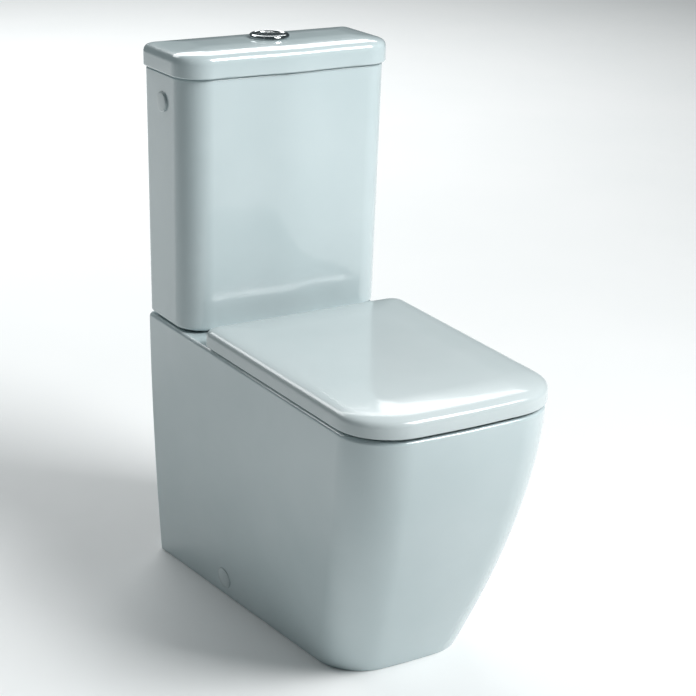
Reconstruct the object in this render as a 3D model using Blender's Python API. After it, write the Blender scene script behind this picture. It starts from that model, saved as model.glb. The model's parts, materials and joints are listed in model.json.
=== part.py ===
"""Close coupled toilet: a back to wall pan with a cistern on its deck, a wrap-over seat lid and a dual flush.

Metres, +Z up. The front faces -Y, the wall is the plane Y = WALL, and the floor is Z = 0. "Reach" is a
distance forward from the wall, so a point at reach d lies at Y = WALL - d.
"""

import math

import bmesh
import bpy
from mathutils import Matrix, Vector

# Driving sizes
WALL = 0.31275
GAP = 0.0003
RIM_Z = 0.400
RIM_HALF_BACK, RIM_HALF_FRONT, RIM_REACH = 0.1680, 0.1575, 0.6200
FOOT_HALF_BACK, FOOT_HALF_FRONT, FOOT_REACH = 0.1540, 0.1080, 0.4950
RIM_CORNER, FOOT_CORNER = 0.075, 0.062
FORWARD_POWER, SIDEWAYS_POWER = 1.5, 1.75
PAN_WALL = 0.014
DECK_UNDER_Z = 0.375

BOWL_HALF, BOWL_NEAR, BOWL_FAR = 0.124, 0.246, 0.582
TRAP_BORE, TRAP_WALL = 0.032, 0.009
OUTLET_Z, OUTLET_REACH = 0.180, 0.066

TANK_Z, TANK_TOP_Z = 0.4035, 0.7790
TANK_HALF_LOW, TANK_HALF_TOP = 0.1670, 0.1700
TANK_REACH_LOW, TANK_REACH_TOP = 0.1340, 0.1420
TANK_CORNER, TANK_WALL, TANK_FLOOR = 0.044, 0.011, 0.012
TANK_FLOOR_Z = TANK_Z + TANK_FLOOR
COVER_HALF, COVER_REACH, COVER_CORNER = 0.1740, 0.1465, 0.046
COVER_Z, COVER_TOP_Z = TANK_TOP_Z + GAP, TANK_TOP_Z + 0.0390
COVER_UNDER_Z = COVER_TOP_Z - 0.0155

VALVE_REACH = 0.070
COUPLING_X = 0.082
FILL_X = -0.122
SIDE_HOLE_Z, SIDE_HOLE_REACH = 0.7370, 0.064

HINGE_REACH, HINGE_Z, HINGE_X = 0.188, 0.420, 0.0775
HINGE_BOLT_REACH = 0.208
PIN_RADIUS, PIN_BORE = 0.0033, 0.0036
LID_NEAR, LID_LOW_Z, LID_TOP_Z = 0.1770, 0.4045, 0.4300
LID_PROUD, LID_WALL, LID_POCKET_Z = 0.002, 0.0045, 0.4265
SEAT_NEAR, SEAT_LOW_Z, SEAT_TOP_Z = 0.2065, 0.4080, 0.4220
BUFFER_REACH = 0.5840
OPENING_HALF, OPENING_NEAR, OPENING_FAR = 0.104, 0.262, 0.560

FIXING_REACH, FIXING_Z = 0.195, 0.030
BUTTON_RADIUS = 0.022
BUTTON_UNDER_Z = COVER_TOP_Z - 0.0055
FULL_ROD_X, HALF_ROD_X = -0.009, 0.0125
HEAD_Z = COVER_TOP_Z - 0.0690
LEVER_Z = 0.6945

SIDES = (("left", -1), ("right", 1))
ACROSS, ALONG, UP = Vector((1, 0, 0)), Vector((0, 1, 0)), Vector((0, 0, 1))


def clear_scene():
    for obj in list(bpy.data.objects):
        bpy.data.objects.remove(obj, do_unlink=True)


def material(name, colour, roughness, metallic=0.0):
    made = bpy.data.materials.new(name)
    made.use_nodes = True
    shader = made.node_tree.nodes["Principled BSDF"]
    shader.inputs["Base Color"].default_value = (*colour, 1.0)
    shader.inputs["Roughness"].default_value = roughness
    shader.inputs["Metallic"].default_value = metallic
    return made


def make_materials():
    return {
        "china": material("vitreous_china", (0.80, 0.84, 0.84), 0.08),
        "seat": material("seat_plastic", (0.82, 0.86, 0.86), 0.15),
        "chrome": material("chrome", (0.75, 0.77, 0.78), 0.08, 1.0),
        "steel": material("zinc_plated_steel", (0.58, 0.58, 0.57), 0.35, 1.0),
        "brass": material("brass", (0.72, 0.55, 0.28), 0.30, 1.0),
        "plastic": material("valve_plastic", (0.78, 0.79, 0.78), 0.45),
        "grey": material("grey_plastic", (0.30, 0.32, 0.34), 0.50),
        "rubber": material("black_rubber", (0.03, 0.03, 0.03), 0.75),
    }


# Mesh helpers


def place(x, reach, z):
    return Vector((x, WALL - reach, z))


def finish(name, bm, finish_material):
    """One object from a closed mesh, with its faces turned outwards and its round sides smooth."""
    bmesh.ops.recalc_face_normals(bm, faces=bm.faces)
    mesh = bpy.data.meshes.new(name)
    bm.to_mesh(mesh)
    bm.free()
    mesh.shade_smooth()
    mesh.set_sharp_from_angle(angle=math.radians(35))
    obj = bpy.data.objects.new(name, mesh)
    bpy.context.scene.collection.objects.link(obj)
    if finish_material:
        mesh.materials.append(finish_material)
    return obj


def boolean(target, other, operation, solver="EXACT"):
    """Joins to or cuts from target a helper object, which stays out of the model itself."""
    other.hide_render = True
    other.display_type = "WIRE"
    modifier = target.modifiers.new(other.name, "BOOLEAN")
    modifier.operation = operation
    modifier.solver = solver
    modifier.object = other
    return target


def cut(target, *cutters, solver="EXACT"):
    for cutter in cutters:
        boolean(target, cutter, "DIFFERENCE", solver)
    return target


def join(target, *others, solver="EXACT"):
    for other in others:
        boolean(target, other, "UNION", solver)
    return target


def loft(name, rings, finish_material=None):
    """A closed solid through rings of equally many points, capped at both ends.

    Its sides are triangles, because a twisted four-sided face can't be cut cleanly.
    """
    bm = bmesh.new()
    loops = [[bm.verts.new(point) for point in ring] for ring in rings]
    for low, high in zip(loops, loops[1:]):
        for i, vert in enumerate(low):
            j = (i + 1) % len(low)
            bm.faces.new((vert, low[j], high[j], high[i]))
    bmesh.ops.triangulate(bm, faces=bm.faces)
    bm.faces.new(list(reversed(loops[0])))
    bm.faces.new(loops[-1])
    return finish(name, bm, finish_material)


def turned(name, profile, centre, axis=UP, steps=24, finish_material=None):
    """A closed profile of (radius, height) points spun about an axis through centre."""
    bm = bmesh.new()
    verts = [bm.verts.new((radius, 0.0, height)) for radius, height in profile]
    edges = [bm.edges.new((a, b)) for a, b in zip(verts, verts[1:])]
    on_axis = profile[0][0] == 0.0 and profile[-1][0] == 0.0
    if not on_axis:
        edges.append(bm.edges.new((verts[-1], verts[0])))
    bmesh.ops.spin(
        bm, geom=verts + edges, cent=(0, 0, 0), axis=(0, 0, 1), angle=2 * math.pi, steps=steps, use_merge=True
    )
    bmesh.ops.remove_doubles(bm, verts=bm.verts, dist=1e-6)
    turn = UP.rotation_difference(axis).to_matrix().to_4x4()
    bmesh.ops.transform(bm, matrix=Matrix.Translation(centre) @ turn, verts=bm.verts)
    return finish(name, bm, finish_material)


def pipe_profile(inner, outer, low, high):
    return [(inner, low), (outer, low), (outer, high), (inner, high)]


def rod_profile(radius, low, high):
    return [(0.0, low), (radius, low), (radius, high), (0.0, high)]


def upright(name, x, reach, profile, finish_material=None, steps=24):
    return turned(name, profile, place(x, reach, 0.0), UP, steps, finish_material)


def across(name, reach, z, profile, finish_material=None, steps=20):
    """Turned about a line along X; its profile heights are X positions."""
    return turned(name, profile, place(0.0, reach, z), ACROSS, steps, finish_material)


def nut(name, bore, outer, low, high, centre, finish_material, axis=UP, sides=6):
    """A nut with flat sides and a round bore."""
    body = turned(name, rod_profile(outer, low, high), centre, axis, sides, finish_material)
    margin = 0.001 * (1 if high > low else -1)
    return cut(body, turned(f"{name}_bore", rod_profile(bore, low - margin, high + margin), centre, axis))


def block(name, xs, reaches, zs, finish_material=None):
    low = place(min(xs), max(reaches), min(zs))
    high = place(max(xs), min(reaches), max(zs))
    bm = bmesh.new()
    bmesh.ops.create_cube(bm, size=1.0)
    size = high - low
    matrix = Matrix.Translation((low + high) / 2) @ Matrix.Diagonal((*size, 1.0))
    bmesh.ops.transform(bm, matrix=matrix, verts=bm.verts)
    return finish(name, bm, finish_material)


def fillet(before, corner, after, radius, steps):
    """Points of the arc that rounds a corner of an outline."""
    into = (before - corner).normalized()
    out = (after - corner).normalized()
    half_angle = math.acos(max(-1.0, min(1.0, into.dot(out)))) / 2
    bisector = (into + out).normalized()
    centre = corner + bisector * (radius / math.sin(half_angle))
    start = corner + into * (radius / math.tan(half_angle)) - centre
    sweep = math.pi - 2 * half_angle
    turn = 1 if start.cross(corner - centre) > 0 else -1
    angles = [turn * sweep * i / steps for i in range(steps + 1)]
    return [centre + Matrix.Rotation(angle, 2) @ start for angle in angles]


def outline(z, half_back, half_front, near, far, radius_back, radius_front, bow=0.0, corner_steps=6):
    """The plan of a piece with straight sides, rounded corners and a bowed front, as a ring at height z.

    near and far are the reaches of its back and front; the front bows forward by bow at its middle.
    """
    back_middle, back_corner = Vector((0.0, near)), Vector((half_back, near))
    front_corner, front_middle = Vector((half_front, far)), Vector((0.0, far))
    back_arc = fillet(back_middle, back_corner, front_corner, radius_back, 2)
    front_arc = fillet(back_corner, front_corner, front_middle, radius_front, corner_steps)
    front_run = [front_arc[-1].lerp(front_middle, t) for t in (0.33, 0.67, 1.0)]
    half = back_arc + front_arc + front_run
    forward = [max(0.0, (p.y - near) / (far - near)) ** 8 for p in half]
    half = [
        Vector((p.x, p.y + bow * share * (1 - min(1.0, p.x / half_front) ** 2)))
        for p, share in zip(half, forward)
    ]
    mirrored = [Vector((-p.x, p.y)) for p in reversed(half[:-1])]
    return [place(p.x, p.y, z) for p in half + mirrored]


def blend(low, high, share):
    return low + (high - low) * share


# Pan


def pan_plan(z):
    """The pan's half widths at its back and front and its reach at height z: it is narrowest at the foot."""
    share = max(0.0, min(1.0, z / RIM_Z))
    forward = 1 - (1 - share) ** FORWARD_POWER
    sideways = 1 - (1 - share) ** SIDEWAYS_POWER
    half_back = blend(FOOT_HALF_BACK, RIM_HALF_BACK, sideways)
    half_front = blend(FOOT_HALF_FRONT, RIM_HALF_FRONT, sideways)
    return half_back, half_front, blend(FOOT_REACH, RIM_REACH, forward), share


def pan_ring(z, inset=0.0, near=0.0):
    half_back, half_front, far, share = pan_plan(z)
    corner = blend(FOOT_CORNER, RIM_CORNER, share)
    return outline(
        z, half_back - inset, half_front - inset, near, far - inset, 0.004, corner - inset, bow=0.004
    )


def pan_half(reach, z):
    """Half the pan's outer width at a point of its straight side."""
    half_back, half_front, far, _ = pan_plan(z)
    return blend(half_back, half_front, reach / far)


def fixing_frame(sign):
    """The point on the pan's side over a floor fixing, and the side's outward direction there."""
    step = 0.01
    along_slope = (pan_half(FIXING_REACH + step, FIXING_Z) - pan_half(FIXING_REACH, FIXING_Z)) / step
    up_slope = (pan_half(FIXING_REACH, FIXING_Z + step) - pan_half(FIXING_REACH, FIXING_Z)) / step
    point = place(sign * pan_half(FIXING_REACH, FIXING_Z), FIXING_REACH, FIXING_Z)
    return point, Vector((sign, along_slope, -up_slope)).normalized()


def bowl_ring(z, half, near, far, grow):
    """An egg-shaped ring of the bowl, widened by the wall for its outer side."""
    half, near, far = half + grow, near - grow, far + grow
    middle, length = (near + far) / 2, (far - near) / 2
    points = []
    for i in range(28):
        angle = 2 * math.pi * i / 28
        squareness = 2 / 2.6
        across_share = math.copysign(abs(math.cos(angle)) ** squareness, math.cos(angle))
        along_share = math.copysign(abs(math.sin(angle)) ** squareness, math.sin(angle))
        points.append(place(half * across_share, middle + length * along_share, z))
    return points


def bowl(name, grow, top_z, sink):
    """The bowl from its opening down to the sump."""
    middle = 0.400
    steps = (
        (0.394, 1.00, 1.00, middle),
        (0.340, 0.96, 0.965, middle + 0.002),
        (0.290, 0.83, 0.87, middle - 0.004),
        (0.240, 0.63, 0.70, middle - 0.018),
        (0.195, 0.47, 0.50, middle - 0.040),
        (0.150, 0.36, 0.34, middle - 0.060),
        (0.096 - sink, 0.28, 0.24, middle - 0.072),
    )
    half_length = (BOWL_FAR - BOWL_NEAR) / 2
    rings = [
        bowl_ring(z, BOWL_HALF * wide, centre - half_length * long, centre + half_length * long, grow)
        for z, wide, long, centre in steps
        if z < top_z
    ]
    opening = bowl_ring(top_z, BOWL_HALF, middle - half_length, middle + half_length, grow)
    return loft(name, list(reversed([opening] + rings)))


def swept(name, route, radius, sides=16):
    """A round solid along a route of points in the plane X = 0."""
    rings = []
    for i, point in enumerate(route):
        ahead = route[min(i + 1, len(route) - 1)]
        behind = route[max(i - 1, 0)]
        normal = (ahead - behind).normalized().cross(Vector((1, 0, 0)))
        rings.append(
            [
                point + radius * (Vector((1, 0, 0)) * math.cos(a) + normal * math.sin(a))
                for a in (2 * math.pi * k / sides for k in range(sides))
            ]
        )
    return loft(name, rings)


def trap_route(start_share, end_reach):
    """The trapway's centre line, from the sump over the weir to the outlet."""
    points = [(0.335, 0.134), (0.298, 0.136), (0.262, 0.160), (0.240, 0.205), (0.212, 0.240)]
    points += [(0.175, 0.243), (0.147, 0.215), (0.118, 0.187), (0.090, OUTLET_Z), (end_reach, OUTLET_Z)]
    return [place(0.0, reach, z) for reach, z in points[start_share:]]


def make_pan(china):
    heights = (0.0, 0.045, 0.10, 0.16, 0.22, 0.28, 0.34, 0.394)
    rings = [pan_ring(z) for z in heights] + [pan_ring(0.3985, 0.0012), pan_ring(RIM_Z, 0.004)]
    pan = loft("pan", rings, china)
    hollow_heights = (-0.01, 0.10, 0.22, 0.32, DECK_UNDER_Z)
    cut(pan, loft("pan_hollow", [pan_ring(z, PAN_WALL, near=-0.02) for z in hollow_heights]))
    join(
        pan,
        bowl("bowl_shell", 0.011, 0.385, 0.012),
        swept("trap_shell", trap_route(1, OUTLET_REACH), TRAP_BORE + TRAP_WALL),
        block("duct_shell", (-0.045, 0.045), (0.020, 0.262), (0.292, 0.380)),
    )
    return cut(
        pan,
        bowl("bowl_hollow", 0.0, 0.42, 0.0),
        swept("trap_hollow", trap_route(0, OUTLET_REACH - 0.02), TRAP_BORE),
        block("duct_hollow", (-0.036, 0.036), (0.029, 0.275), (0.300, 0.366)),
        *pan_holes(),
        solver="MANIFOLD",
    )


def pan_holes():
    """Cutters through the deck for the valve, supply and bolts, and through the sides for the screws."""
    holes = [
        upright("inlet_hole", 0.0, VALVE_REACH, rod_profile(0.035, 0.35, 0.42)),
        upright("inlet_recess", 0.0, VALVE_REACH, rod_profile(0.049, 0.384, 0.42)),
        upright("supply_hole", FILL_X, VALVE_REACH, rod_profile(0.023, 0.36, 0.42)),
    ]
    deck_way, hinge_way = rod_profile(0.0055, 0.36, 0.42), rod_profile(0.006, 0.36, 0.42)
    screw_way = [(0.0, -0.030), (0.0045, -0.030), (0.0045, -0.0075), (0.0125, -0.0075)]
    screw_way += [(0.0125, 0.020), (0.0, 0.020)]
    for side, sign in SIDES:
        holes.append(upright(f"deck_hole_{side}", sign * COUPLING_X, VALVE_REACH, deck_way, steps=16))
        holes.append(upright(f"hinge_hole_{side}", sign * HINGE_X, HINGE_BOLT_REACH, hinge_way, steps=16))
        holes.append(turned(f"side_bore_{side}", screw_way, *fixing_frame(sign), 20))
    return holes


def make_pan_fixings(parts):
    """On each side an angle bracket on the floor, the screw that holds the pan to it, and the screw's cap."""
    leg_x = pan_half(FIXING_REACH, FIXING_Z) - 0.0265
    for side, sign in SIDES:
        centre, outward = fixing_frame(sign)
        reaches = (FIXING_REACH - 0.020, FIXING_REACH + 0.020)
        leg_xs = (sign * leg_x, sign * (leg_x + 0.004))
        bracket = block(f"floor_bracket_{side}", leg_xs, reaches, (0.0, 0.058), parts["steel"])
        foot_xs = (sign * (leg_x - 0.0385), sign * (leg_x + 0.0025))
        join(bracket, block(f"bracket_foot_{side}", foot_xs, reaches, (0.0, 0.004)))
        floor_hole = rod_profile(0.0045, -0.01, 0.01)
        cut(
            bracket,
            turned(f"bracket_hole_{side}", rod_profile(0.0045, -0.040, -0.010), centre, outward, 12),
            upright(f"floor_hole_{side}", sign * (leg_x - 0.0205), FIXING_REACH, floor_hole, steps=12),
        )
        screw = [(0.0, -0.034), (0.0033, -0.034), (0.0033, -0.0072), (0.0065, -0.0072), (0.0065, -0.0040)]
        screw += [(0.0, -0.0040)]
        turned(f"fixing_screw_{side}", screw, centre, outward, 12, parts["steel"])
        cap = [(0.0, -0.0034), (0.0118, -0.0034), (0.0118, 0.0004), (0.0165, 0.0004), (0.0165, 0.0016)]
        cap += [(0.0145, 0.0026), (0.0080, 0.0032), (0.0, 0.0034)]
        turned(f"fixing_cap_{side}", cap, centre, outward, 20, parts["seat"])


def make_outlet_connector(rubber):
    """The soft sleeve that joins the pan's spout to the soil pipe in the wall."""
    spout = TRAP_BORE + TRAP_WALL
    profile = [(spout + 2 * GAP, 0.003), (spout + 0.0125, 0.003), (spout + 0.0125, 0.010)]
    profile += [(spout + 0.006, 0.014), (spout + 0.006, 0.076), (spout + 0.010, 0.080)]
    profile += [(spout + 0.010, 0.090), (spout + 2 * GAP, 0.090)]
    forward = [(radius, -reach) for radius, reach in profile]
    turned("outlet_connector", forward, place(0.0, 0.0, OUTLET_Z), ALONG, 28, rubber)


# Cistern


def tank_ring(z, inset=0.0):
    share = (z - TANK_Z) / (TANK_TOP_Z - TANK_Z)
    half = blend(TANK_HALF_LOW, TANK_HALF_TOP, share) - inset
    reach = blend(TANK_REACH_LOW, TANK_REACH_TOP, share) - inset
    return outline(z, half, half, inset, reach, 0.012, TANK_CORNER - inset, bow=0.004)


def cover_ring(z, inset=0.0):
    return outline(
        z,
        COVER_HALF - inset,
        COVER_HALF - inset,
        inset,
        COVER_REACH - inset,
        max(0.003, 0.012 - inset / 2),
        max(0.010, COVER_CORNER - inset),
        bow=0.0045,
    )


def make_tank(china):
    rings = [tank_ring(TANK_Z, 0.006), tank_ring(TANK_Z + 0.0018, 0.0018), tank_ring(TANK_Z + 0.006)]
    rings += [tank_ring(z) for z in (0.53, 0.66)]
    rings += [tank_ring(TANK_TOP_Z - 0.003), tank_ring(TANK_TOP_Z, 0.003)]
    tank = loft("cistern_tank", rings, china)
    inside_heights = (TANK_FLOOR_Z, 0.60, TANK_TOP_Z + 0.02)
    holes = [
        loft("tank_hollow", [tank_ring(z, TANK_WALL) for z in inside_heights]),
        upright("tank_valve_hole", 0.0, VALVE_REACH, rod_profile(0.0315, 0.39, 0.43)),
        upright("tank_supply_hole", FILL_X, VALVE_REACH, rod_profile(0.0115, 0.39, 0.43), steps=16),
    ]
    bolt_way = rod_profile(0.0055, 0.39, 0.43)
    for side, sign in SIDES:
        side_way = along_x(0.0095, sign, 0.14, 0.19)
        holes.append(upright(f"tank_hole_{side}", sign * COUPLING_X, VALVE_REACH, bolt_way, steps=16))
        holes.append(across(f"tank_side_hole_{side}", SIDE_HOLE_REACH, SIDE_HOLE_Z, side_way, steps=16))
    return cut(tank, *holes)


def make_side_plugs(parts):
    """Blanking plugs in the two side inlets, each with a nut inside the tank."""
    share = (SIDE_HOLE_Z - TANK_Z) / (TANK_TOP_Z - TANK_Z)
    face = blend(TANK_HALF_LOW, TANK_HALF_TOP, share)
    under = face + 0.00045
    end = face - 0.0250
    centre = place(0.0, SIDE_HOLE_REACH, SIDE_HOLE_Z)
    for side, sign in SIDES:
        plug = [(0.0, end), (0.0085, end), (0.0085, under), (0.0145, under)]
        plug += [(0.0145, face + 0.0020), (0.0125, face + 0.0032), (0.0, face + 0.0035)]
        outward = [(radius, sign * x) for radius, x in plug]
        across(f"side_plug_{side}", SIDE_HOLE_REACH, SIDE_HOLE_Z, outward, parts["seat"])
        nut_low, nut_high = sign * (face - 0.0220), sign * (face - 0.0122)
        nut(f"side_plug_nut_{side}", 0.0090, 0.0140, nut_low, nut_high, centre, parts["grey"], ACROSS)


def make_cover(china):
    rings = [cover_ring(COVER_Z, 0.0045), cover_ring(COVER_Z + 0.003)]
    crown = ((0.0170, 0.0), (0.0095, 0.0018), (0.0055, 0.0055))
    crown += ((0.0030, 0.014), (0.0012, 0.032), (0.0, 0.055))
    rings += [cover_ring(COVER_TOP_Z - drop, inset) for drop, inset in crown]
    cover = loft("cistern_cover", rings, china)
    cut(cover, loft("cover_pocket", [cover_ring(z, 0.013) for z in (COVER_Z - 0.010, COVER_UNDER_Z)]))
    rib_heights = (TANK_TOP_Z - 0.012, COVER_UNDER_Z + 0.003)
    hollow_heights = (TANK_TOP_Z - 0.020, COVER_UNDER_Z)
    rib = loft("cover_rib", [tank_ring(z, TANK_WALL + 0.002) for z in rib_heights])
    cut(rib, loft("rib_hollow", [tank_ring(z, TANK_WALL + 0.0055) for z in hollow_heights]))
    join(cover, rib)
    button_way = rod_profile(0.0262, TANK_TOP_Z, COVER_TOP_Z + 0.010)
    return cut(cover, upright("button_hole", 0.0, VALVE_REACH, button_way))


def make_coupling_bolts(parts):
    for side, sign in SIDES:
        x = sign * COUPLING_X
        bolt = [(0.0, 0.350), (0.0040, 0.350), (0.0040, 0.4194), (0.0095, 0.4194), (0.0095, 0.4245)]
        bolt += [(0.0070, 0.4265), (0.0, 0.4265)]
        upright(f"coupling_bolt_{side}", x, VALVE_REACH, bolt, parts["brass"], steps=12)
        washer = pipe_profile(0.0044, 0.0120, TANK_FLOOR_Z + GAP, 0.4190)
        upright(f"coupling_washer_{side}", x, VALVE_REACH, washer, parts["rubber"], steps=16)
        hub = pipe_profile(0.0044, 0.0085, 0.3625, DECK_UNDER_Z - GAP)
        wing_nut = upright(f"coupling_wing_nut_{side}", x, VALVE_REACH, hub, parts["brass"], steps=16)
        for end, (near_x, far_x) in (("in", (-0.019, -0.0075)), ("out", (0.0075, 0.019))):
            reaches = (VALVE_REACH - 0.0018, VALVE_REACH + 0.0018)
            join(wing_nut, block(f"wing_{side}_{end}", (x + near_x, x + far_x), reaches, (0.3565, 0.3715)))


# Flush valve


def make_flush_valve(parts):
    reach = VALVE_REACH
    gasket = pipe_profile(0.0412, 0.0478, 0.384 + GAP, TANK_Z - GAP)
    upright("tank_gasket", 0.0, reach, gasket, parts["rubber"], steps=28)
    middle = place(0.0, reach, 0.0)
    nut("flush_valve_nut", 0.0309, 0.0400, 0.3950, TANK_Z - GAP, middle, parts["grey"], sides=8)
    washer = pipe_profile(0.0308, 0.0400, TANK_FLOOR_Z + GAP, 0.4188)
    upright("flush_valve_washer", 0.0, reach, washer, parts["rubber"])
    body_low = [(0.0255, 0.378), (0.0304, 0.378), (0.0304, 0.4192), (0.0400, 0.4192), (0.0400, 0.4232)]
    body_low += [(0.0255, 0.4232)]
    body = upright("flush_valve_body", 0.0, reach, body_low, parts["plastic"])
    housing = [(0.0310, 0.500), (0.0345, 0.500), (0.0345, 0.612), (0.0172, 0.612)]
    housing += [(0.0172, 0.607), (0.0310, 0.607)]
    join(body, upright("valve_housing", 0.0, reach, housing))
    for i in range(4):
        angle = math.pi / 4 + i * math.pi / 2
        x, y = 0.0338 * math.cos(angle), 0.0338 * math.sin(angle)
        reaches = (reach + y - 0.003, reach + y + 0.003)
        join(body, block(f"valve_leg_{i}", (x - 0.003, x + 0.003), reaches, (0.4220, 0.506)))
    make_flush_valve_head(reach, parts["plastic"])
    tube_top = HEAD_Z - 0.0250
    tube = [(0.0, 0.4305), (0.0225, 0.4305), (0.0225, 0.4340), (0.0160, 0.4390), (0.0160, tube_top)]
    tube += [(0.0130, tube_top), (0.0130, 0.4440), (0.0, 0.4440)]
    upright("overflow_tube", 0.0, reach, tube, parts["grey"])
    seal = rod_profile(0.0290, 0.4232 + GAP, 0.4305 - GAP)
    upright("flush_seal", 0.0, reach, seal, parts["rubber"])


def make_flush_valve_head(reach, plastic):
    """The bridge over the overflow tube that guides both push rods."""
    head = upright("flush_valve_head", 0.0, reach, rod_profile(0.0300, HEAD_Z, HEAD_Z + 0.0080), plastic)
    collar = pipe_profile(0.0215, 0.0300, 0.6125, 0.6200)
    join(head, upright("head_collar", 0.0, reach, collar))
    for end, sign in (("front", 1), ("back", -1)):
        reaches = (reach + sign * 0.0225, reach + sign * 0.0285)
        join(head, block(f"head_pillar_{end}", (-0.007, 0.007), reaches, (0.6150, HEAD_Z + 0.0040)))
    rod_way = rod_profile(0.0042, HEAD_Z - 0.010, HEAD_Z + 0.020)
    for name, x in (("full", FULL_ROD_X), ("half", HALF_ROD_X)):
        cut(head, upright(f"rod_way_{name}", x, reach, rod_way, steps=12))


def make_button(parts):
    reach = VALVE_REACH
    top = COVER_TOP_Z
    bezel = [(0.0226, top - 0.0300), (0.0258, top - 0.0300), (0.0258, top + GAP), (0.0295, top + GAP)]
    bezel += [(0.0295, top + 0.0020), (0.0280, top + 0.0045), (0.0240, top + 0.0060), (0.0226, top + 0.0045)]
    upright("button_bezel", 0.0, reach, bezel, parts["chrome"], steps=40)
    middle = place(0.0, reach, 0.0)
    nut_high = COVER_UNDER_Z - GAP
    nut("bezel_nut", 0.0265, 0.0340, nut_high - 0.0082, nut_high, middle, parts["grey"], sides=12)
    cap = [(0.0, BUTTON_UNDER_Z), (BUTTON_RADIUS, BUTTON_UNDER_Z), (BUTTON_RADIUS, top + 0.0035)]
    cap += [(BUTTON_RADIUS - 0.0015, top + 0.0048), (0.0, top + 0.0052)]
    split_x, split_radius = 0.0185, 0.0180
    full = upright("full_flush_button", 0.0, reach, cap, parts["chrome"], steps=40)
    outer_disc = rod_profile(split_radius + 0.0006, top - 0.03, top + 0.03)
    cut(full, upright("button_split_outer", split_x, reach, outer_disc, steps=40))
    half = upright("half_flush_button", 0.0, reach, cap, parts["chrome"], steps=40)
    inner_disc = rod_profile(split_radius, top - 0.03, top + 0.03)
    boolean(half, upright("button_split_inner", split_x, reach, inner_disc, steps=40), "INTERSECT")
    rod = rod_profile(0.0030, HEAD_Z + 0.0055, BUTTON_UNDER_Z - GAP)
    for name, x in (("full", FULL_ROD_X), ("half", HALF_ROD_X)):
        upright(f"{name}_flush_rod", x, reach, rod, parts["grey"], steps=12)


# Fill valve


def make_fill_valve(parts):
    reach = VALVE_REACH
    body = [(0.0, 0.362), (0.0102, 0.362), (0.0102, 0.4193), (0.0170, 0.4193), (0.0170, 0.4233)]
    body += [(0.0105, 0.4233), (0.0105, 0.6450), (0.0160, 0.6500), (0.0160, 0.6850), (0.0, 0.6850)]
    valve = upright("fill_valve", FILL_X, reach, body, parts["plastic"])
    for end, sign in (("front", 1), ("back", -1)):
        ear_xs = (FILL_X - 0.0145, FILL_X - 0.0065)
        ear_reaches = (reach + sign * 0.0052, reach + sign * 0.0082)
        join(valve, block(f"lever_ear_{end}", ear_xs, ear_reaches, (0.6820, LEVER_Z + 0.0045)))
    pin_x = FILL_X - 0.0105
    pin_place = place(pin_x, reach, LEVER_Z)
    cut(valve, turned("lever_pin_way", rod_profile(0.0018, -0.012, 0.012), pin_place, ALONG, 12))
    turned("lever_pin", rod_profile(0.0015, -0.0090, 0.0090), pin_place, ALONG, 12, parts["steel"])
    washer = pipe_profile(0.0109, 0.0170, TANK_FLOOR_Z + GAP, 0.4190)
    upright("fill_valve_washer", FILL_X, reach, washer, parts["rubber"])
    nut("fill_valve_nut", 0.0109, 0.0180, 0.3920, TANK_Z - GAP, place(FILL_X, reach, 0.0), parts["grey"])
    cup = pipe_profile(0.0112, 0.0270, 0.5000, 0.5600)
    float_cup = upright("float_cup", FILL_X, reach, cup, parts["grey"])
    stem_x = FILL_X + 0.0225
    stem_xs, stem_reaches = (stem_x - 0.003, stem_x + 0.003), (reach - 0.003, reach + 0.003)
    join(float_cup, block("float_stem", stem_xs, stem_reaches, (0.555, LEVER_Z - 0.0050)))
    eye = pipe_profile(0.0018, 0.0036, -0.0048, 0.0048)
    lever = turned("float_lever", eye, pin_place, ALONG, 12, parts["plastic"])
    arm_xs, arm_reaches = (pin_x + 0.0025, stem_x + 0.005), (reach - 0.004, reach + 0.004)
    join(lever, block("lever_arm", arm_xs, arm_reaches, (LEVER_Z - 0.0020, LEVER_Z + 0.0020)))


# Seat and lid


def seat_ring_outline(z, proud, near, radius_back=0.020):
    """The seat's and the lid's plan: the pan's rim, made larger by proud."""
    share = near / RIM_REACH
    half_back = blend(RIM_HALF_BACK, RIM_HALF_FRONT, share) + proud
    front = RIM_REACH + proud
    half_front, corner = RIM_HALF_FRONT + proud, RIM_CORNER + proud
    return outline(z, half_back, half_front, near, front, radius_back, corner, bow=0.0035)


def make_lid(white):
    """The lid wraps down round the seat, with an open back for the hinges."""
    levels = ((LID_LOW_Z, 0.0012), (LID_LOW_Z + 0.0015, 0.0), (0.4200, 0.0), (0.4265, 0.0022))
    levels += ((LID_TOP_Z, 0.0075), (0.4322, 0.018), (0.4342, 0.040), (0.4352, 0.070))
    rings = [
        seat_ring_outline(z, LID_PROUD - inset, LID_NEAR + inset, max(0.008, 0.020 - inset / 2))
        for z, inset in levels
    ]
    lid = loft("seat_lid", rings, white)
    proud, near = LID_PROUD - LID_WALL, LID_NEAR + LID_WALL
    pocket_heights = (0.395, 0.4200, LID_POCKET_Z)
    opening_reaches = (LID_NEAR - 0.02, LID_NEAR + 0.03)
    cut(
        lid,
        loft("lid_pocket", [seat_ring_outline(z, proud, near, 0.016) for z in pocket_heights]),
        block("lid_back_opening", (-0.118, 0.118), opening_reaches, (0.395, LID_POCKET_Z)),
    )
    for side, sign in SIDES:
        lug = hinge_lug(f"lid_lug_{side}", (sign * 0.0545, sign * 0.0680), (0.4190, 0.4285), 0.0)
        join(lid, lug, solver="MANIFOLD")
        cut(lid, pin_way(f"lid_lug_bore_{side}", sign, 0.050, 0.072), solver="MANIFOLD")
    return lid


def along_x(radius, sign, low, high):
    return [(r, sign * x) for r, x in rod_profile(radius, low, high)]


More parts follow.
